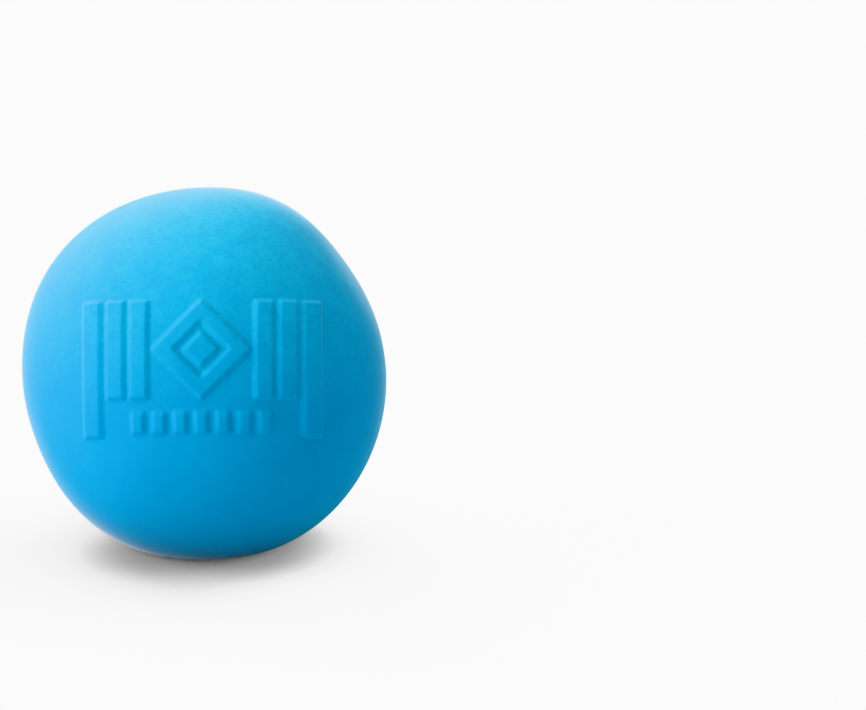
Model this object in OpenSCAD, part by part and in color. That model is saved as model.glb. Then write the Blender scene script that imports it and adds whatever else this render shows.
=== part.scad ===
// Large stress ball: a thick moulded rubber skin filled with slow, heavy dough.
// It stands on a foot that its own weight presses flat. The front faces -Y and
// the filling hole, closed by a glued plug, is opposite it, at +Y.
// The origin is at the middle of the ball's outline, on the desk.

/* [Ball] */
// Width of the resting ball, side to side
ball_width = 115; // [100:1:130]
// Height of the ball's centre above the desk, as a share of the width
sit_ratio = 0.465; // [0.45:0.005:0.48]
// Thickness of the moulded skin
skin_wall = 4; // [3:0.5:5]
// How far the dough's weight swells the ball just above its foot, as a share of the radius
sag = 0.055; // [0.035:0.005:0.06]

/* [Filling port] */
// Diameter of the plug's head
head_d = 15; // [13:0.5:17]
// Thickness of the plug's head
head_t = 1.6; // [1.4:0.1:1.8]
// Diameter of the plug's stem
stem_d = 9; // [7:0.5:10]
// Diameter of the thickened ring of skin around the hole
boss_d = 20; // [18:0.5:24]
// How far the thickened ring reaches in past the wall
boss_depth = 4; // [2:0.5:6]
// Thickness of the glue under the plug's head
glue_t = 0.4; // [0.3:0.1:0.6]

/* [Raised pattern] */
// Height of the moulded pattern above the ball's surface
relief = 1; // [0.6:0.1:1.2]
// Width of the pattern, over its two tall bars
pattern_width = 72; // [68:1:76]
// Height of the tall bars
pattern_height = 41; // [38:1:43]
// Width of every bar
stroke = 5.6; // [4.5:0.1:6]
// Number of bars on each side: the outermost is tall and the others are short
bar_count = 3; // [2:1:3]

/* [Fit] */
// Space all round the plug and its glue, so that they slide freely
port_gap = 0.1; // [0.05:0.05:0.2]
// Space between the filling and the skin, above the filling's flat base
filling_gap = 0.1; // [0.05:0.05:0.3]

/* [Hidden] */
$fn = 64;

// The ball swells most at this height above or below its middle, in degrees
sag_elevation = -60;
sag_spread = 45;

// Soft bulges and flats that handling leaves in the ball:
// [azimuth, elevation, height as a share of the radius, spread in degrees].
// Azimuth 0 is +X, the right-hand side from the front, and 90 is +Y, the back.
bumps = [
    [0, 90, 0.035, 50],      // crown
    [0, 68, 0.040, 25],      // right shoulder
    [0, 40, -0.022, 16],     // flat below the right shoulder
    [180, 36, 0.065, 42],    // left shoulder
    [180, -60, 0.016, 26],   // left hip
    [120, 40, 0.014, 28],    // back, upper left
    [60, -24, 0.012, 30],    // back, lower right
];

// The raised pattern faces this far up from the front, and its corners are rounded
pattern_tilt = 17;
corner = 0.8;
bar_gap = 1.6;
// Width of the diamond ring's four sides, and the small diamond in it as a share of the ring
ring_stroke = 4.8;
kernel_share = 0.34;
// Height left under the short bars and the ring, and the row of small blocks in it
row_space = 11.4;
row_lift = 1;
row_count = 7;
row_pitch = 6.4;
row_block = [3.9, 6.4];

// Steps from the rim to the middle of the plug's curved face
face_steps = 3;
// Bevel on the plug's stem, and its clearance from the inner end of its hole
stem_bevel = 0.8;
stem_recess = 0.5;
// How much narrower the ring of glue is than the plug's head
glue_setback = 1;
// Cuts run this far past the faces that they open
overcut = 1;

// Facets round the ball and from pole to pole, outside and inside
outer_facets = [60, 30];
inner_facets = [48, 24];

// A direction as a unit vector, and the angle between two of them
function toward(azimuth, elevation) =
    [cos(elevation) * cos(azimuth), cos(elevation) * sin(azimuth), sin(elevation)];
function apart(a, b) = acos(max(-1, min(1, a * b)));

// A smooth hill that is `height` high at its middle and dies away with the angle
function hill(angle, height, spread) = height * exp(-pow(angle / spread, 2));

// Distance from the centre to the surface of a ball of radius 1
function bumps_at(azimuth, elevation) = [
    for (b = bumps) hill(apart(toward(azimuth, elevation), toward(b[0], b[1])), b[2], b[3])
];
function sag_at(elevation) = hill(elevation - sag_elevation, sag, sag_spread);
function reach(azimuth, elevation) =
    1 + sag_at(elevation) + bumps_at(azimuth, elevation) * [for (b = bumps) 1];

// Points of the ball from the top pole, ring by ring, to the bottom pole
function ball_points(radius, inset, facets) = [
    toward(0, 90) * (radius * reach(0, 90) - inset),
    for (ring = [1 : facets[1] - 1])
        for (step = [0 : facets[0] - 1])
            let (elevation = 90 - 180 * ring / facets[1], azimuth = 360 * step / facets[0])
            toward(azimuth, elevation) * (radius * reach(azimuth, elevation) - inset),
    toward(0, -90) * (radius * reach(0, -90) - inset),
];

// Triangles between the rings, and fans at the two poles
function ring_point(ring, step, facets) = 1 + ring * facets[0] + step % facets[0];
function ball_faces(facets) = let (last = 1 + facets[0] * (facets[1] - 1)) [
    for (step = [0 : facets[0] - 1])
        [0, ring_point(0, step + 1, facets), ring_point(0, step, facets)],
    for (ring = [0 : facets[1] - 3])
        for (step = [0 : facets[0] - 1])
            let (a = ring_point(ring, step, facets), b = ring_point(ring, step + 1, facets))
            let (c = ring_point(ring + 1, step + 1, facets), d = ring_point(ring + 1, step, facets))
            each [[a, b, c], [a, c, d]],
    for (step = [0 : facets[0] - 1])
        let (ring = facets[1] - 2)
        [last, ring_point(ring, step, facets), ring_point(ring, step + 1, facets)],
];

// The ball is scaled to its width and set over the origin
unit_points = ball_points(1, 0, outer_facets);
unit_x = [for (p = unit_points) p[0]];
unit_y = [for (p = unit_points) p[1]];
base_radius = ball_width / (max(unit_x) - min(unit_x));
centre = [
    -base_radius * (max(unit_x) + min(unit_x)) / 2,
    -base_radius * (max(unit_y) + min(unit_y)) / 2,
    ball_width * sit_ratio,
];

// Depths below the back of the ball, along the port's axis
back_reach = base_radius * reach(90, 0);
head_floor = head_t + glue_t + port_gap;
port_depth = skin_wall + boss_depth;
stem_length = port_depth - stem_recess;
// How far the ball's back falls away at a radius from the port's axis
function back_drop(r) = r * r / 2 / back_reach;

// The ball's shape, smaller by `inset` all round, cut flat at height `floor_z`
module ball_shape(inset, floor_z, facets) {
    intersection() {
        translate(centre)
            polyhedron(ball_points(base_radius, inset, facets), ball_faces(facets));
        translate([-ball_width, -ball_width, floor_z])
            cube(2 * ball_width);
    }
}

// A flat shape with rounded corners, centred on (x, y)
module block(x, y, width, height) {
    translate([x, y])
        offset(r = corner)
            square([width - 2 * corner, height - 2 * corner], center = true);
}

// A diamond with rounded corners, `half` from its middle to each corner
module diamond(y, half) {
    translate([0, y])
        offset(r = corner)
            rotate(45)
                square((half - corner) * sqrt(2), center = true);
}

// The pattern, flat: a diamond ring between bars, over a row of small blocks
module pattern_outline() {
    ring = (pattern_height - row_space) / 2;
    middle = row_space / 2;
    difference() {
        diamond(middle, ring);
        diamond(middle, ring - ring_stroke * sqrt(2));
    }
    diamond(middle, ring * kernel_share);
    for (side = [-1, 1], bar = [0 : bar_count - 1]) {
        x = side * ((pattern_width - stroke) / 2 - bar * (stroke + bar_gap));
        if (bar == 0)
            block(x, 0, stroke, pattern_height);
        else
            block(x, middle, stroke, 2 * ring);
    }
    row_y = row_lift + (row_block[1] - pattern_height) / 2;
    for (i = [0 : row_count - 1])
        block((i - (row_count - 1) / 2) * row_pitch, row_y, row_block[0], row_block[1]);
}

// The pattern as prisms through the front of the ball, square to its tilted middle
module pattern_prisms() {
    translate(centre)
        rotate([90 - pattern_tilt, 0, 0])
            linear_extrude(ball_width)
                pattern_outline();
}

// Places things on the port's axis: +Z points out of the ball, and 0 is at its back
module at_port() {
    translate([centre[0], centre[1] + back_reach, centre[2]])
        rotate([-90, 0, 0])
            children();
}

// A cylinder on the port's axis between two depths
module port_cylinder(d, from, to) {
    at_port()
        translate([0, 0, -to])
            cylinder(d = d, h = to - from);
}

// One-piece skin, thickened round the filling hole
module skin() {
    color("deepskyblue")
        difference() {
            union() {
                difference() {
                    union() {
                        ball_shape(0, 0, outer_facets);
                        intersection() {
                            ball_shape(-relief, 0, outer_facets);
                            pattern_prisms();
                        }
                    }
                    ball_shape(skin_wall, skin_wall, inner_facets);
                }
                port_cylinder(boss_d, head_floor, port_depth);
            }
            port_cylinder(stem_d + 2 * port_gap, head_floor - overcut, port_depth + overcut);
            port_cylinder(head_d + 2 * port_gap, -overcut, head_floor);
        }
}

// Dough that fills the skin and sits on its floor
module filling() {
    color("linen")
        difference() {
            ball_shape(skin_wall + filling_gap, skin_wall, inner_facets);
            port_cylinder(boss_d + 2 * filling_gap, 0, port_depth + filling_gap);
        }
}

// Plug with a flanged head that follows the ball's curve, and a bevelled stem
module fill_plug() {
    head_r = head_d / 2;
    stem_r = stem_d / 2;
    face = [for (i = [face_steps : -1 : 0]) head_r * i / face_steps];
    color("dodgerblue")
        at_port()
            rotate_extrude()
                polygon([
                    [0, -stem_length],
                    [stem_r - stem_bevel, -stem_length],
                    [stem_r, -stem_length + stem_bevel],
                    [stem_r, -head_t],
                    [head_r, -head_t],
                    for (r = face) [r, -back_drop(r)],
                ]);
}

// Ring of cured glue under the plug's head
module plug_glue() {
    color("ivory")
        difference() {
            port_cylinder(head_d - glue_setback, head_t, head_t + glue_t);
            port_cylinder(stem_d, head_t - overcut, head_t + glue_t + overcut);
        }
}

skin();
filling();
fill_plug();
plug_glue();
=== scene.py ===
"""Large stress ball on white paper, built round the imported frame."""
import math

import bpy
import numpy as np
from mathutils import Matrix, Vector


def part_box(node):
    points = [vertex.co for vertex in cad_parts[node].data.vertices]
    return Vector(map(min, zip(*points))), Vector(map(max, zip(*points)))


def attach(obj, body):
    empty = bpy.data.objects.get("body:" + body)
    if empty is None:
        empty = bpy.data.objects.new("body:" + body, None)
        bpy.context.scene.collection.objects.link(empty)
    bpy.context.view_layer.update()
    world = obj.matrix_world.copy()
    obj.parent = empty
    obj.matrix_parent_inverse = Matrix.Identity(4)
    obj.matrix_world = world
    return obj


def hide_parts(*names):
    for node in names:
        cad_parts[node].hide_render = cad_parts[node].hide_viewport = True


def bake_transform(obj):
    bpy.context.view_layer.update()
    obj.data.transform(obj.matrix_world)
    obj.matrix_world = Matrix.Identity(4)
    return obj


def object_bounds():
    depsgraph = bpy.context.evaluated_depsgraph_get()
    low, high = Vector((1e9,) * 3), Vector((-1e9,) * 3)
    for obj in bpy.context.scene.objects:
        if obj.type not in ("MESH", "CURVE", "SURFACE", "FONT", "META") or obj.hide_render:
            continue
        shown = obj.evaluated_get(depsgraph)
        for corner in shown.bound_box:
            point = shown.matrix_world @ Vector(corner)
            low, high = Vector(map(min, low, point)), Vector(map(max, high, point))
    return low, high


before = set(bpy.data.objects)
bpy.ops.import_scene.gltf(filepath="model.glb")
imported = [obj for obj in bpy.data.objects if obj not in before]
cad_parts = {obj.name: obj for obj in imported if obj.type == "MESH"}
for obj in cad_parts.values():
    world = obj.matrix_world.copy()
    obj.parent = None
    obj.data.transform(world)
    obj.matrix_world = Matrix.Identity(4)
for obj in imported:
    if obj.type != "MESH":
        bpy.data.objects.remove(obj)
CAD_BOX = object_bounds()
MM = 0.001

# ---- The ball's shape: the same soft form as the CAD skin ---------------------------------------

# The dough's weight swells the ball round the elevation SAG_ELEVATION, in degrees.
SAG = 0.055
SAG_ELEVATION = -60
SAG_SPREAD = 45
# Bulges and flats: azimuth, elevation, height as a share of the radius, spread in degrees.
BUMPS = [
    (0, 90, 0.035, 50),     # crown
    (0, 68, 0.040, 25),     # right shoulder
    (0, 40, -0.022, 16),    # flat below the right shoulder
    (180, 36, 0.065, 42),   # left shoulder
    (180, -60, 0.016, 26),  # left hip
    (120, 40, 0.014, 28),   # back, upper left
    (60, -24, 0.012, 30),   # back, lower right
]
SKIN_WALL = 4 * MM
FILLING_GAP = 0.1 * MM
FOOT_ROUNDING = 1.6 * MM    # height over which the foot's rim turns into the side

# ---- The raised pattern, on a plane that faces PATTERN_TILT degrees up from the front -----------

PATTERN_TILT = 17
PATTERN_WIDTH = 72 * MM
PATTERN_HEIGHT = 41 * MM
STROKE = 5.6 * MM
BAR_COUNT = 3               # bars on each side: the outermost is tall, the others short
BAR_GAP = 1.6 * MM
CORNER = 0.8 * MM
RING_STROKE = 4.8 * MM      # width of the diamond ring's sides
KERNEL_SHARE = 0.34         # the small diamond in it, as a share of the ring
ROW_SPACE = 11.4 * MM       # height left under the short bars for the row of small blocks
ROW_LIFT = 1 * MM
ROW_COUNT = 7
ROW_PITCH = 6.4 * MM
ROW_BLOCK = (3.9 * MM, 6.4 * MM)
RELIEF = 1 * MM
BEVEL = 2.1 * MM            # width of the slope round each raised shape
FRONT_COSINE = 0.2          # least cosine to the pattern's facing: there is none on the back

# ---- The slight unevenness that dough leaves in its skin: waves in random directions ------------

WOBBLE = 0.35 * MM
WOBBLE_RATES = (6, 9, 13)   # radians of a wave for each radius of the ball
WOBBLE_WAVES = 4            # waves of each rate
WOBBLE_SEED = 7
WOBBLE_START = 0.3          # none nearer to the port than this, in radii, and all at twice as far

# ---- The mesh: a cube's six faces blown up to a ball, with finer cells where they are needed ----

CELLS = 24                  # widest cells along a cube face's side
LEVELS = 4                  # how many times a cell may be halved
STEPS = CELLS * 2 ** LEVELS     # finest cells along it
BACK_FACE = 3               # number of the cube's +Y face, which the port is in
PORT_CELLS = 4              # half-width, in widest cells, of the patch left open round the port
PORT_LEVEL = 2              # how many times the cells round that patch are halved
PLAIN_CELL = 2 * MM         # widest cell allowed away from the pattern
SLOPE_CELL = 0.27 * MM      # and on the pattern's slopes
SLOPE_REACH = 0.55 * BEVEL  # how far the finest cells go from a raised shape's edge
CELL_GROWTH = 0.6           # how much wider the cells get from there, per metre of distance


def unit(vectors):
    return vectors / np.linalg.norm(vectors, axis=-1, keepdims=True)


def toward(azimuth, elevation):
    """The unit vector at an azimuth and an elevation, in degrees."""
    a, e = math.radians(azimuth), math.radians(elevation)
    return np.array([math.cos(e) * math.cos(a), math.cos(e) * math.sin(a), math.sin(e)])


def hill(angle, height, spread):
    """A smooth hill that is `height` high at its middle and dies away with the angle."""
    return height * np.exp(-(angle / spread) ** 2)


def reach(directions):
    """Distance from the centre to the surface of a ball of radius 1, along unit vectors."""
    elevation = np.degrees(np.arcsin(np.clip(directions[..., 2], -1, 1)))
    total = 1 + hill(elevation - SAG_ELEVATION, SAG, SAG_SPREAD)
    for azimuth, height_angle, height, spread in BUMPS:
        cosine = np.clip(directions @ toward(azimuth, height_angle), -1, 1)
        total = total + hill(np.degrees(np.arccos(cosine)), height, spread)
    return total


def cube_directions(points):
    """Unit vectors to integer points on the surface of a cube of side STEPS."""
    return unit(np.tan(math.pi / 4 * (2 * np.asarray(points, float) / STEPS - 1)))


def place_ball():
    """The ball's radius and centre, from the box of the CAD skin and the face of the plug."""
    step = 3                # degrees
    azimuths, elevations = range(0, 360, step), range(-90, 91, step)
    directions = np.stack([toward(a, e) for a in azimuths for e in elevations])
    surface = directions * reach(directions)[:, None]
    low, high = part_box("skin")
    radius = (high.x - low.x) / np.ptp(surface[:, 0])
    centre = np.array([
        high.x - radius * surface[:, 0].max(),
        BACK - radius * float(reach(toward(90, 0))),
        high.z - radius * surface[:, 2].max(),
    ])
    return radius, centre


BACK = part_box("fill_plug")[1].y     # the ball's back, at the middle of the plug's face
RADIUS, CENTRE = place_ball()
CUBE_SIDE = RADIUS * math.pi / 2    # a cube face's side, laid on the ball

# The pattern's own axes: out of the ball, to the right and up along its plane
FACING = toward(-90, PATTERN_TILT)
ACROSS = np.array([1.0, 0.0, 0.0])
UPWARD = np.cross(ACROSS, -FACING)


# ---- The pattern's height field -----------------------------------------------------------------

def block(u, v, x, y, width, height):
    """Signed distance to a rectangle with rounded corners, centred on (x, y)."""
    du = np.abs(u - x) - (width / 2 - CORNER)
    dv = np.abs(v - y) - (height / 2 - CORNER)
    outside = np.hypot(np.maximum(du, 0), np.maximum(dv, 0))
    return outside + np.minimum(np.maximum(du, dv), 0) - CORNER


def diamond(u, v, y, half):
    """Signed distance to a diamond on the middle line, `half` from its middle to each corner."""
    side = (half - CORNER) * math.sqrt(2) + 2 * CORNER
    return block((u + v - y) / math.sqrt(2), (v - y - u) / math.sqrt(2), 0, 0, side, side)


def pattern_distance(u, v):
    """Signed distance to the nearest raised shape, negative inside it."""
    ring = (PATTERN_HEIGHT - ROW_SPACE) / 2
    middle = ROW_SPACE / 2
    hole = diamond(u, v, middle, ring - RING_STROKE * math.sqrt(2))
    shapes = [
        np.maximum(diamond(u, v, middle, ring), -hole),
        diamond(u, v, middle, ring * KERNEL_SHARE),
    ]
    for bar in range(BAR_COUNT):
        x = (PATTERN_WIDTH - STROKE) / 2 - bar * (STROKE + BAR_GAP)
        y, height = (0, PATTERN_HEIGHT) if bar == 0 else (middle, 2 * ring)
        shapes += [block(u, v, side * x, y, STROKE, height) for side in (-1, 1)]
    row_y = ROW_LIFT + (ROW_BLOCK[1] - PATTERN_HEIGHT) / 2
    for i in range(ROW_COUNT):
        shapes.append(block(u, v, (i - (ROW_COUNT - 1) / 2) * ROW_PITCH, row_y, *ROW_BLOCK))
    return np.minimum.reduce(shapes)


def distance_from_pattern(directions):
    """Signed distance, in metres, from points of the ball to the raised shapes."""
    points = directions * (RADIUS * reach(directions))[..., None]
    distance = pattern_distance(points @ ACROSS, points @ UPWARD)
    return np.where(directions @ FACING > FRONT_COSINE, distance, RADIUS)


def smooth(t):
    """A soft step from 0 to 1 as t goes from 0 to 1."""
    t = np.clip(t, 0, 1)
    return t * t * (3 - 2 * t)


def surface_points(directions, inset, raised):
    """Points of the ball's surface, `inset` inside it, with a flat foot; the outside is raised
    by the pattern and the wobble."""
    length = RADIUS * reach(directions) - inset
    if raised:
        distance = distance_from_pattern(directions)
        length = length + RELIEF * smooth(0.5 - distance / BEVEL) + wobble(directions)
    points = CENTRE + directions * length[..., None]
    drop = points[..., 2] - inset
    rounding = np.maximum(FOOT_ROUNDING - np.abs(drop), 0) ** 2 / (4 * FOOT_ROUNDING)
    points[..., 2] = inset + np.maximum(drop, 0) + rounding
    return points


def wobble(directions):
    """The height of the skin's slight unevenness, which fades out round the port."""
    draws = np.random.default_rng(WOBBLE_SEED)
    total = np.zeros(directions.shape[:-1])
    for rate in WOBBLE_RATES:
        for _ in range(WOBBLE_WAVES):
            wave = unit(draws.normal(size=3)) * rate
            total += np.sin(directions @ wave + draws.uniform(0, 2 * math.pi)) / rate
    from_port = np.linalg.norm(directions - toward(90, 0), axis=-1)
    return WOBBLE * total * smooth((from_port - WOBBLE_START) / WOBBLE_START)


# ---- Ball meshes --------------------------------------------------------------------------------

def cube_point(face, i, j):
    """Integer points on the cube: face 0 to 5 is -X, +X, -Y, +Y, -Z, +Z."""
    axis, high = face // 2, face % 2
    points = np.zeros((len(i), 3), int)
    points[:, axis] = high * STEPS
    points[:, (axis + 1) % 3] = np.where(high, i, j)
    points[:, (axis + 2) % 3] = np.where(high, j, i)
    return points


def leaf_cells(face, fineness):
    """Square cells (i, j, size) of one cube face, halved until each is small enough."""
    width = 2 ** LEVELS
    i, j = (grid.ravel() * width for grid in np.mgrid[0:CELLS, 0:CELLS])
    leaves = []
    while len(i):
        middle = cube_directions(cube_point(face, i + width / 2, j + width / 2))
        length = CUBE_SIDE * width / STEPS
        split = (length > fineness(middle)) & (width > 1)
        leaves.append(np.stack([i[~split], j[~split], np.full((~split).sum(), width)], 1))
        i, j, width = i[split], j[split], width // 2
        i, j = (np.concatenate([i, i + width, i, i + width]),
                np.concatenate([j, j, j + width, j + width]))
    return np.concatenate(leaves)


def patchwork(fineness):
    """A ball with a patch left open round the port: its corners as cube points, its cells as
    lists of corner numbers, and the loop of corners round the patch."""
    stride = np.array([(STEPS + 1) ** 2, STEPS + 1, 1])
    first = STEPS // 2 - PORT_CELLS * 2 ** LEVELS
    last = STEPS - first
    squares = []
    for face in range(6):
        i, j, width = leaf_cells(face, fineness).T
        if face == BACK_FACE:
            inside = (i >= first) & (i < last) & (j >= first) & (j < last)
            i, j, width = i[~inside], j[~inside], width[~inside]
        ring = [(i, j), (i + width, j), (i + width, j + width), (i, j + width)]
        squares.append(np.stack([cube_point(face, a, b) @ stride for a, b in ring], 1))
    squares = np.concatenate(squares).astype(int).tolist()
    known = set(key for square in squares for key in square)

    def walk(a, b):
        """The known corners from a up to, but not including, b, on a straight line."""
        middle, odd = divmod(a + b, 2)
        if odd or middle not in known:
            return [a]
        return walk(a, middle) + walk(middle, b)

    def walk_round(square):
        return [key for a, b in zip(square, square[1:] + square[:1]) for key in walk(a, b)]

    keys = sorted(known)
    number = {key: n for n, key in enumerate(keys)}
    cells = [[number[key] for key in walk_round(square)] for square in squares]
    i, j = np.array([first, last, last, first]), np.array([first, first, last, last])
    patch = (cube_point(BACK_FACE, i, j) @ stride).astype(int).tolist()
    loop = [number[key] for key in walk_round(patch)]
    keys = np.array(keys)
    corners = np.stack([keys // stride[0], keys // stride[1] % (STEPS + 1), keys % (STEPS + 1)], 1)
    return corners, cells, loop


def near_port(directions):
    """Whether cells lie on the open patch or in the row of cells round it."""
    along = np.abs(np.degrees(np.arctan2(directions[:, [0, 2]], directions[:, [1]])))
    return (along.max(1) < 90 * (PORT_CELLS + 1) / CELLS) & (directions[:, 1] > 0)


# Widest cell allowed round the patch: a tenth over its real width, so that it isn't halved again
PORT_CELL = CUBE_SIDE / CELLS / 2 ** PORT_LEVEL * 1.1


def skin_fineness(directions):
    """Widest cell allowed: fine along the pattern's slopes and round the port."""
    from_slope = np.abs(distance_from_pattern(directions)) - SLOPE_REACH
    width = np.clip(SLOPE_CELL + CELL_GROWTH * from_slope, SLOPE_CELL, PLAIN_CELL)
    return np.where(near_port(directions), PORT_CELL, width)


def plain_fineness(directions):
    """Widest cell allowed where there is no pattern."""
    return np.where(near_port(directions), PORT_CELL, PLAIN_CELL)


# ---- The port: rings of points round its axis ---------------------------------------------------

PORT_GAP = 0.1 * MM         # round the plug and its glue, in the skin
STEM_GAP = 0.05 * MM        # between the glue and the stem
BOSS_DEPTH = 8 * MM         # depth of the thickened ring's inner end below the ball's back
BOSS_R = 10 * MM
STEM_R = 4.5 * MM
GATE_DEPTH = 0.3 * MM       # top of the plug's gate mark, below the ball's back
DIMPLE_DEPTH = 0.6 * MM     # floor of the dimple round it
GROOVE_DEPTH = 0.2 * MM     # floor of the plug's ring groove, below its face
LIP_WIDTH = 0.35 * MM       # the soft edge round the plug's head
ROOT_WIDTH = 1.5 * MM       # and where the thickened ring meets the wall
MOUTH_WIDTH = 1.6 * MM      # and round the pocket in the dough
PLUG_LOW, PLUG_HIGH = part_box("fill_plug")
GLUE_LOW, GLUE_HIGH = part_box("plug_glue")
HEAD_R = (PLUG_HIGH.x - PLUG_LOW.x) / 2
HEAD_DEPTH = BACK - GLUE_HIGH.y         # underside of the plug's head
GLUE_DEPTH = BACK - GLUE_LOW.y          # underside of the glue
FLOOR_DEPTH = GLUE_DEPTH + PORT_GAP     # and the ledge of skin under it

ARC_STEPS = 4               # straight steps in each rounded corner
TURN_STEPS = 128            # and round the plug and the glue
OUTER_RINGS = 8             # rings of cells from the patch's square edge to the lip
INNER_RINGS = 3             # and to the thickened ring or its pocket
PATCH_START = 225           # angle of the patch's first corner round the port, in degrees
MEAN_POINTS = 64            # points taken for the mean depth at a radius
BACK_ROUNDS = 8             # rounds in which a point settles on the ball's back
ON_AXIS = 1e-9              # a smaller radius than this counts as zero


def rounded(profile):
    """Turns corners (radius, depth, rounding) into arcs, as a list of (radius, depth)."""
    points = []
    for n, (r, depth, rounding) in enumerate(profile):
        corner = np.array([r, depth])
        if rounding == 0:
            points.append(corner)
            continue
        arms = []
        for r2, depth2, _ in (profile[n - 1], profile[(n + 1) % len(profile)]):
            arm = np.array([r2, depth2]) - corner
            arms.append(corner + arm * min(0.5, rounding / np.linalg.norm(arm)))
        for t in np.linspace(0, 1, ARC_STEPS + 1):
            points.append((1 - t) ** 2 * arms[0] + 2 * t * (1 - t) * corner + t ** 2 * arms[1])
    return points


def circle(radius, depth, count):
    """A ring of points on the port's axis, in the order of the patch's loop."""
    angle = math.radians(PATCH_START) - 2 * math.pi * np.arange(count) / count
    x, z = radius * np.cos(angle), radius * np.sin(angle)
    return np.stack([CENTRE[0] + x, np.full(count, BACK - depth), CENTRE[2] + z], 1)


def on_back(x, z, inset):
    """Points of the ball's back at offsets x and z from the port's axis."""
    y = np.full(x.shape, RADIUS)
    for _ in range(BACK_ROUNDS):
        directions = unit(np.stack([x, y, z], -1))
        y = np.sqrt((RADIUS * reach(directions) - inset) ** 2 - x ** 2 - z ** 2)
    return CENTRE + np.stack([x, y, z], -1)


def patch_rings(square, radius, inset, count):
    """Rings on the ball's back that turn the patch's square edge into a circle."""
    goal = circle(radius, 0, len(square))
    rings = []
    for t in np.linspace(0, 1, count + 1)[1:]:
        x, z = ((square + (goal - square) * t - CENTRE)[:, [0, 2]]).T
        rings.append(on_back(x, z, inset))
    return rings


def depth_on_back(radius, inset):
    """Mean depth of the ball's back at a radius from the port's axis."""
    ring = circle(radius, 0, MEAN_POINTS) - CENTRE
    return BACK - on_back(ring[:, 0], ring[:, 2], inset)[:, 1].mean()


def stitch(faces, rings):
    """Quads between rings of corner numbers."""
    for a, b in zip(rings, rings[1:]):
        for k in range(len(a)):
            n = (k + 1) % len(a)
            faces.append([a[k], a[n], b[n], b[k]])


def add_rings(points, rings):
    """Adds rings of points to a list of point arrays and returns their corner numbers."""
    numbers = []
    for ring in rings:
        start = sum(len(p) for p in points)
        points.append(ring)
        numbers.append(list(range(start, start + len(ring))))
    return numbers


def make_mesh(name, points, faces, material):
    """A smooth-shaded piece from a list of point arrays and lists of corner numbers."""
    mesh = bpy.data.meshes.new(name)
    mesh.from_pydata(np.concatenate(points).tolist(), [], faces)
    mesh.validate()
    mesh.shade_smooth()
    mesh.materials.append(material)
    piece = bpy.data.objects.new(name, mesh)
    bpy.context.scene.collection.objects.link(piece)
    return piece


def revolve(name, profile, material, closed=False):
    """A solid of revolution round the port's axis. Its profile of (radius, depth) runs from the
    face to the inner end, between two points on the axis, or is a closed loop."""
    points, faces = [], []
    rings = [circle(r, depth, TURN_STEPS) for r, depth in profile if r > ON_AXIS]
    numbers = add_rings(points, rings)
    if closed:
        stitch(faces, numbers + numbers[:1])
    else:
        stitch(faces, numbers)
        tips = [circle(0, profile[end][1], 1) for end in (0, -1)]
        (top,), (bottom,) = add_rings(points, tips)
        for k in range(TURN_STEPS):
            n = (k + 1) % TURN_STEPS
            faces.append([top, numbers[0][n], numbers[0][k]])
            faces.append([bottom, numbers[-1][k], numbers[-1][n]])
    # Stitching makes faces that look into a hole, and a solid's look out of it.
    for face in faces:
        face.reverse()
    return make_mesh(name, points, faces, material)


# ---- Pieces -------------------------------------------------------------------------------------

def make_skin(material):
    """The moulded skin: outside, port and inside as one closed wall."""
    outer, faces, loop = patchwork(skin_fineness)
    inner, inner_faces, inner_loop = patchwork(plain_fineness)
    outside = surface_points(cube_directions(outer), 0, True)
    inside = surface_points(cube_directions(inner), SKIN_WALL, False)
    points = [outside, inside]
    faces += [[n + len(outer) for n in face[::-1]] for face in inner_faces]

    hole_r = HEAD_R + PORT_GAP
    bore_r = STEM_R + PORT_GAP
    lip_r = hole_r + LIP_WIDTH
    root_r = BOSS_R + ROOT_WIDTH
    # Corners from the lip to the inside: radius, depth, rounding.
    profile = rounded([
        (lip_r, depth_on_back(lip_r, 0), 0),
        (hole_r, depth_on_back(hole_r, 0), 0.3 * MM),
        (hole_r, FLOOR_DEPTH, 0.2 * MM),
        (bore_r, FLOOR_DEPTH, 0.3 * MM),
        (bore_r, BOSS_DEPTH, 0.4 * MM),
        (BOSS_R, BOSS_DEPTH, 0.8 * MM),
        (BOSS_R, depth_on_back(BOSS_R, SKIN_WALL), 1.2 * MM),
        (root_r, depth_on_back(root_r, SKIN_WALL), 0),
    ])
    rings = patch_rings(outside[loop], lip_r, 0, OUTER_RINGS)[:-1]
    rings += [circle(r, depth, len(loop)) for r, depth in profile]
    rings += patch_rings(inside[inner_loop], root_r, SKIN_WALL, INNER_RINGS)[:-1][::-1]
    inner_loop = [n + len(outer) for n in inner_loop]
    stitch(faces, [loop] + add_rings(points, rings) + [inner_loop])
    return make_mesh("ball_skin", points, faces, material)


def make_filling(material):
    """The dough: it fills the skin and leaves room for the port's thick ring."""
    corners, faces, loop = patchwork(plain_fineness)
    inset = SKIN_WALL + FILLING_GAP
    outside = surface_points(cube_directions(corners), inset, False)
    points = [outside]
    pocket_r = BOSS_R + FILLING_GAP
    mouth_r = pocket_r + MOUTH_WIDTH
    # Corners from the pocket's mouth to its floor: radius, depth, rounding.
    profile = rounded([
        (mouth_r, depth_on_back(mouth_r, inset), 0),
        (pocket_r, depth_on_back(pocket_r, inset), 1.2 * MM),
        (pocket_r, BOSS_DEPTH + FILLING_GAP, 0.8 * MM),
        (STEM_R, BOSS_DEPTH + FILLING_GAP, 0),
    ])
    rings = patch_rings(outside[loop], mouth_r, inset, INNER_RINGS)[:-1]
    rings += [circle(r, depth, len(loop)) for r, depth in profile]
    numbers = [loop] + add_rings(points, rings)
    stitch(faces, numbers)
    faces.append(numbers[-1])
    return make_mesh("ball_filling", points, faces, material)


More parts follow.
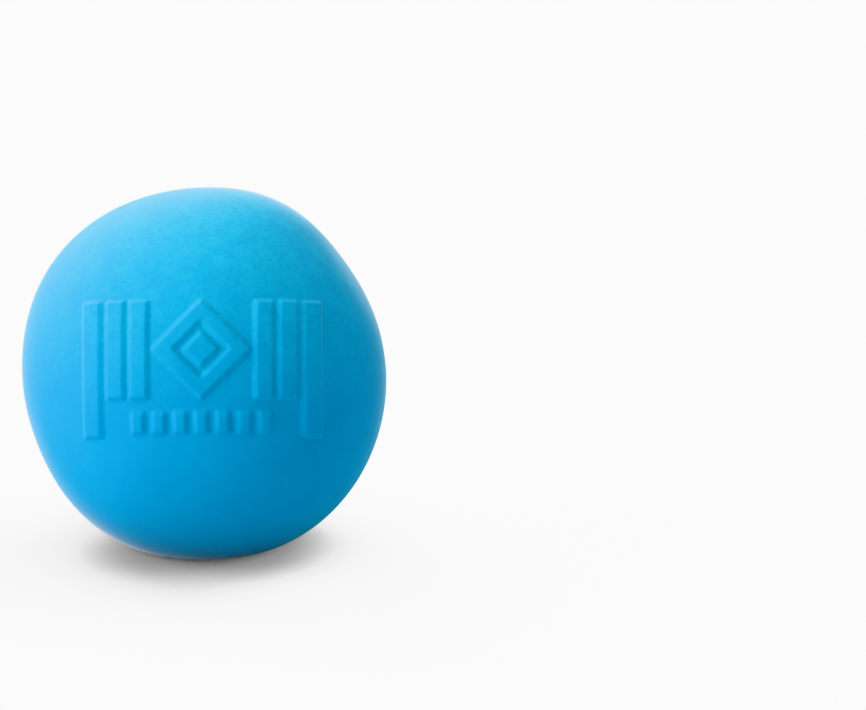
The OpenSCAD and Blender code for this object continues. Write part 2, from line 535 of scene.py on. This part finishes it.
def make_plug(material):
    """The plug: its face follows the ball, with a gate mark in a dimple and a shallow ring."""
    low = BACK - PLUG_LOW.y

    def face(r, sunk=0):
        """A corner of the curved face, or `sunk` below it."""
        return (r, depth_on_back(r, 0) + sunk)

    # Corners from the middle of the face to the stem's end: radius, depth, rounding.
    profile = rounded([
        (0, GATE_DEPTH, 0),
        (0.7 * MM, GATE_DEPTH, 0.15 * MM),
        (0.85 * MM, DIMPLE_DEPTH, 0.15 * MM),
        (1.8 * MM, DIMPLE_DEPTH, 0.3 * MM),
        (*face(2.3 * MM), 0.3 * MM),
        (*face(5.2 * MM), 0.15 * MM),
        (*face(5.4 * MM, GROOVE_DEPTH), 0.1 * MM),
        (*face(5.7 * MM, GROOVE_DEPTH), 0.1 * MM),
        (*face(5.9 * MM), 0.15 * MM),
        (*face(HEAD_R), 0.4 * MM),
        (HEAD_R, HEAD_DEPTH, 0.15 * MM),
        (STEM_R, HEAD_DEPTH, 0.2 * MM),
        (STEM_R, low, 0.9 * MM),
        (0, low, 0),
    ])
    return revolve("filling_plug", profile, material)


def make_glue(material):
    """The ring of cured glue under the plug's head, with soft squeezed-out edges."""
    outer_r = (GLUE_HIGH.x - GLUE_LOW.x) / 2
    inner_r = STEM_R + STEM_GAP
    # Corners round the ring's section: radius, depth, rounding.
    profile = rounded([
        (inner_r, HEAD_DEPTH, 0.1 * MM),
        (outer_r, HEAD_DEPTH, 0.2 * MM),
        (outer_r, GLUE_DEPTH, 0.2 * MM),
        (inner_r, GLUE_DEPTH, 0.1 * MM),
    ])
    return revolve("plug_glue_ring", profile, material, closed=True)


# ---- Materials ----------------------------------------------------------------------------------

class Shader:
    """A material's node tree, with short calls for the nodes used here."""

    def __init__(self, name, **values):
        self.material = bpy.data.materials.new(name)
        self.material.use_nodes = True
        self.nodes = self.material.node_tree.nodes
        self.links = self.material.node_tree.links
        self.surface = self.nodes["Principled BSDF"]
        for socket, value in values.items():
            self.surface.inputs[socket.replace("_", " ")].default_value = value
        self.place = self.nodes.new("ShaderNodeTexCoord").outputs["Object"]

    def height(self):
        """Height above the floor, in metres."""
        node = self.nodes.new("ShaderNodeSeparateXYZ")
        self.links.new(self.place, node.inputs["Vector"])
        return node.outputs["Z"]

    def noise(self, size, detail=3, roughness=0.5):
        """Noise whose features are about `size` metres wide."""
        node = self.nodes.new("ShaderNodeTexNoise")
        node.inputs["Scale"].default_value = 1 / size
        node.inputs["Detail"].default_value = detail
        node.inputs["Roughness"].default_value = roughness
        self.links.new(self.place, node.inputs["Vector"])
        return node.outputs["Fac"]

    def specks(self, spacing, size):
        """Small round spots: 1 at their middles, 0 away from them."""
        node = self.nodes.new("ShaderNodeTexVoronoi")
        node.inputs["Scale"].default_value = 1 / spacing
        self.links.new(self.place, node.inputs["Vector"])
        return self.ramp(node.outputs["Distance"], [(0, (1, 1, 1)), (size / spacing, (0, 0, 0))])

    def ramp(self, value, stops):
        """Colours along a value, from (position, colour) pairs."""
        node = self.nodes.new("ShaderNodeValToRGB")
        elements = node.color_ramp.elements
        while len(elements) < len(stops):
            elements.new(0.5)
        for element, (position, colour) in zip(elements, stops):
            element.position = position
            element.color = (*colour, 1)
        self.links.new(value, node.inputs["Fac"])
        return node.outputs["Color"]

    def mix(self, share, base, colour):
        """The base turning into one colour as the share goes from 0 to 1."""
        node = self.nodes.new("ShaderNodeMix")
        node.data_type = "RGBA"
        factor, a, b = (socket for socket in node.inputs if socket.enabled)
        self.links.new(share, factor)
        self.links.new(base, a)
        b.default_value = (*colour, 1)
        return next(socket for socket in node.outputs if socket.enabled)

    def scale(self, value, low, high, start=0, stop=1):
        """Maps start to stop onto low to high, which may be a value or a socket."""
        node = self.nodes.new("ShaderNodeMapRange")
        node.inputs["From Min"].default_value = start
        node.inputs["From Max"].default_value = stop
        node.inputs["To Min"].default_value = low
        if isinstance(high, bpy.types.NodeSocket):
            self.links.new(high, node.inputs["To Max"])
        else:
            node.inputs["To Max"].default_value = high
        self.links.new(value, node.inputs["Value"])
        return node.outputs["Result"]

    def colour(self, value):
        self.links.new(value, self.surface.inputs["Base Color"])

    def roughness(self, value):
        self.links.new(value, self.surface.inputs["Roughness"])

    def bump(self, layers):
        """Stacks (height, distance in metres, strength) layers of bump."""
        normal = None
        for height, distance, strength in layers:
            node = self.nodes.new("ShaderNodeBump")
            node.inputs["Distance"].default_value = distance
            node.inputs["Strength"].default_value = strength
            self.links.new(height, node.inputs["Height"])
            if normal is not None:
                self.links.new(normal, node.inputs["Normal"])
            normal = node.outputs["Normal"]
        self.links.new(normal, self.surface.inputs["Normal"])


def rubber(name, deep, light, bloom_and_top_light):
    """Soft moulded rubber with a pale bloom, patchy and rubbed, that is thickest on top: painted
    light that makes the top lighter and paler.
    """
    shader = Shader(
        name,
        IOR=1.45,
        Specular_IOR_Level=0.11,
        Sheen_Weight=0.7,
        Sheen_Tint=(1, 0.8, 0.75, 1),
        Sheen_Roughness=0.3,
        Subsurface_Weight=0.12,
        Subsurface_Radius=(0.4, 0.8, 1.0),
        Subsurface_Scale=3 * MM,
    )
    clouds = shader.noise(28 * MM, detail=4, roughness=0.55)
    mottle = shader.noise(6 * MM, detail=5, roughness=0.6)
    rubbed = shader.noise(1.5 * MM, detail=3, roughness=0.6)
    # The bloom's share grows from the ball's middle to its crown, and is patchy and rubbed; the
    # growth towards the crown is painted light that makes the top lighter.
    painted_top_light = shader.scale(shader.height(), 0.1, 0.55, start=55 * MM, stop=110 * MM)
    patches = shader.scale(shader.scale(mottle, 0.68, 1, start=0.4, stop=0.6), 0, painted_top_light)
    share = shader.scale(shader.scale(rubbed, 0.72, 1, start=0.35, stop=0.55), 0, patches)
    specks = shader.scale(shader.specks(7 * MM, 0.22 * MM), 0, 0.5)
    base = shader.ramp(clouds, [(0.3, deep), (0.7, light)])
    base = shader.mix(share, base, bloom_and_top_light)
    shader.colour(shader.mix(specks, base, bloom_and_top_light))
    shader.roughness(shader.scale(mottle, 0.5, 0.68))
    grain = shader.noise(0.5 * MM, detail=2)
    shader.bump([(mottle, 0.15 * MM, 0.5), (grain, 0.03 * MM, 0.6)])
    return shader.material


def dough(name):
    """Off-white starch dough with grains."""
    shader = Shader(name, Subsurface_Weight=0.2, Subsurface_Scale=4 * MM, IOR=1.45)
    lumps = shader.noise(9 * MM, detail=5, roughness=0.6)
    grain = shader.noise(0.8 * MM, detail=3)
    shader.colour(shader.ramp(lumps, [(0.3, (0.62, 0.56, 0.44)), (0.7, (0.8, 0.76, 0.66))]))
    shader.roughness(shader.scale(grain, 0.55, 0.8))
    shader.bump([(lumps, 0.6 * MM, 0.6), (grain, 0.1 * MM, 0.5)])
    return shader.material


def glue(name):
    """Cured clear glue, slightly milky, with small bubbles."""
    shader = Shader(
        name, IOR=1.5, Subsurface_Weight=0.3, Subsurface_Scale=1 * MM, Coat_Weight=0.4)
    haze = shader.noise(1.2 * MM, detail=3)
    shader.colour(shader.ramp(haze, [(0.3, (0.6, 0.66, 0.66)), (0.7, (0.8, 0.84, 0.82))]))
    shader.roughness(shader.scale(haze, 0.12, 0.3))
    shader.bump([(shader.specks(0.9 * MM, 0.2 * MM), 0.05 * MM, 0.5)])
    return shader.material


def paper(name, colour):
    """Matte paper whose brightness varies a little."""
    shader = Shader(name, Specular_IOR_Level=0)
    cloud = shader.noise(0.6, detail=2)
    shader.colour(shader.ramp(cloud, [(0.3, tuple(0.97 * c for c in colour)), (0.7, colour)]))
    shader.roughness(shader.scale(cloud, 0.7, 0.8))
    return shader.material


# ---- Studio -------------------------------------------------------------------------------------

CAMERA_AZIMUTH = 2.2        # degrees to the right of the ball's front
CAMERA_ELEVATION = 15       # and degrees up
LENS = 150                  # focal length and sensor width, in millimetres
SENSOR = 36
BALL_SHARE = 0.4185         # the ball's width as a share of the picture's
BALL_ACROSS = -0.2603       # its middle, right of the picture's middle, as a share of the width
BALL_UP = -0.0182           # and above it, as a share of the width
LIGHT_SPREAD = 50           # each light's width as seen from the ball, in degrees
LIGHT_DISTANCE = 3          # metres
SHEET_HALF = 8              # metres from the ball to the paper's edges
SHEET_GAP = 0.1 * MM        # between the foot, the white sheet and the tinted one under it
WHITE_PAPER = (0.89, 0.89, 0.89)
# Colour of the hidden sheet that the ball sees: painted bounce light for the ball's underside.
PAINTED_BOUNCE_COLOUR = (0.0, 0.42, 0.5)
FILL_LIGHT = 0.08           # the surround's brightness on the ball and the paper
WALL_BRIGHTNESS = 2.3       # and as the camera sees it
# The paper burns out to white, so it gets more light than the ball. Name, azimuth round from
# the front, elevation, brightness on the ball and brightness on the paper:
LIGHTS = [
    ("overhead", 0, 85, 0.56, 0.45),
    ("front", -10, 12, 0.12, 0.15),
    ("left", -90, 12, 0.1, 1.2),
    ("right", 90, 12, 0, 1.1),
    ("back_left", -150, 35, 0, 1.25),
    ("back_right", 135, 48, 0.24, 1.1),
    ("left_key", -65, 22, 0.9, 0),
    ("left_rim", -115, 24, 0.7, 0),
    ("left_haze", -155, 34, 1.05, 0),
]


def away(azimuth, elevation, distance):
    """A point seen from the ball at an azimuth round from the front and an elevation."""
    a, e = math.radians(azimuth), math.radians(elevation)
    direction = Vector((math.sin(a) * math.cos(e), -math.cos(a) * math.cos(e), math.sin(e)))
    return Vector(CENTRE) + distance * direction


def make_camera():
    """A long lens at the photo's angle, aimed so that the ball is where the photo has it."""
    data = bpy.data.cameras.new("camera")
    data.lens = LENS
    data.sensor_width = SENSOR
    camera = bpy.data.objects.new("camera", data)
    bpy.context.scene.collection.objects.link(camera)
    bpy.context.scene.camera = camera
    width = CAD_BOX[1].x - CAD_BOX[0].x
    distance = width * LENS / (SENSOR * BALL_SHARE)
    camera.location = away(CAMERA_AZIMUTH, CAMERA_ELEVATION, distance)
    facing = (Vector(CENTRE) - camera.location).normalized()
    right = facing.cross(Vector((0, 0, 1))).normalized()
    up = right.cross(facing)
    picture_width = width / BALL_SHARE
    aside = right * BALL_ACROSS + up * BALL_UP
    aim = Vector(CENTRE) - aside * picture_width
    camera.rotation_euler = (aim - camera.location).to_track_quat("-Z", "Y").to_euler()


def make_sun(name, azimuth, elevation, brightness):
    """A wide, soft, even light; a matte white face turned to it gets this brightness."""
    data = bpy.data.lights.new(name, "SUN")
    data.angle = math.radians(LIGHT_SPREAD)
    data.energy = math.pi * brightness
    # Otherwise rays that pass through the pieces find the sun and fill their shadow.
    data.cycles.use_multiple_importance_sampling = False
    light = bpy.data.objects.new(name, data)
    light.location = away(azimuth, elevation, LIGHT_DISTANCE)
    light.rotation_euler = (Vector(CENTRE) - light.location).to_track_quat("-Z", "Y").to_euler()
    bpy.context.scene.collection.objects.link(light)
    return light


def keep_off(light, things):
    """Flags a light off some things, as a card on a stand does."""
    flagged = bpy.data.collections.new("flagged_off")
    for thing in things:
        flagged.objects.link(thing)
    for member in flagged.collection_objects:
        member.light_linking.link_state = "EXCLUDE"
    light.light_linking.receiver_collection = flagged


def make_surround(name):
    """Walls that look as white as the paper, and give only a little light."""
    world = bpy.data.worlds.new(name)
    world.use_nodes = True
    nodes, links = world.node_tree.nodes, world.node_tree.links
    strength = nodes.new("ShaderNodeMapRange")
    strength.inputs["To Min"].default_value = FILL_LIGHT
    strength.inputs["To Max"].default_value = WALL_BRIGHTNESS
    links.new(nodes.new("ShaderNodeLightPath").outputs["Is Camera Ray"], strength.inputs["Value"])
    links.new(strength.outputs["Result"], nodes["Background"].inputs["Strength"])
    nodes["Background"].inputs["Color"].default_value = (1, 1, 1, 1)
    return world


def make_sheet(name, depth, material):
    """A level sheet of paper, just under the ball's foot."""
    mesh = bpy.data.meshes.new(name)
    signs = [(-1, -1), (1, -1), (1, 1), (-1, 1)]
    corners = [(x * SHEET_HALF, y * SHEET_HALF, -depth) for x, y in signs]
    mesh.from_pydata(corners, [], [(0, 1, 2, 3)])
    mesh.materials.append(material)
    sheet = bpy.data.objects.new(name, mesh)
    bpy.context.scene.collection.objects.link(sheet)
    return sheet


def make_studio(pieces):
    """Paper that burns out to white, under soft lights."""
    scene = bpy.context.scene
    scene.view_settings.view_transform = "Khronos PBR Neutral"
    scene.world = make_surround("studio")

    # The camera sees the white sheet. The ball sees the darker one, whose colour, near the ball's
    # own, is painted bounce light that sets how dark and how blue the ball's underside is. It also
    # keeps the lights from shining up at the ball.
    white = make_sheet("floor", SHEET_GAP, paper("white_paper", WHITE_PAPER))
    painted_bounce_sheet = make_sheet("floor_bounce", 2 * SHEET_GAP, paper("painted_bounce_paper", PAINTED_BOUNCE_COLOUR))
    white.visible_diffuse = white.visible_glossy = white.visible_shadow = False
    painted_bounce_sheet.visible_camera = False
    # No piece throws its colour onto the paper, so that the shadow stays grey.
    for piece in pieces:
        piece.visible_diffuse = False

    for name, azimuth, elevation, on_ball, on_paper in LIGHTS:
        if on_ball:
            keep_off(make_sun(name, azimuth, elevation, on_ball), [white, painted_bounce_sheet])
        if on_paper:
            keep_off(make_sun(name + "_paper", azimuth, elevation, on_paper), pieces)


# ---- Build --------------------------------------------------------------------------------------

# The bloom colours below are a real pale bloom and also painted light, since the bloom is laid on
# thickest on the top.
SKIN_RUBBER = rubber(
    "skin_rubber", deep=(0.0, 0.26, 0.524), light=(0.0, 0.29, 0.572), bloom_and_top_light=(0.045, 0.57, 0.75))
PLUG_RUBBER = rubber(
    "plug_rubber", deep=(0.0, 0.22, 0.462), light=(0.0, 0.25, 0.506), bloom_and_top_light=(0.045, 0.53, 0.7))

skin = make_skin(SKIN_RUBBER)
filling = make_filling(dough("dough"))
plug = make_plug(PLUG_RUBBER)
glue_ring = make_glue(glue("cured_glue"))

# The skin and the filling stay put, and the plug and its glue move with the port.
for soft, node in ((skin, "skin"), (filling, "filling")):
    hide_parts(node)
    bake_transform(soft)
for piece, node, finish in ((plug, "fill_plug", "plug"), (glue_ring, "plug_glue", "glue")):
    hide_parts(node)
    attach(piece, "port")

make_camera()
make_studio([skin, filling, plug, glue_ring])
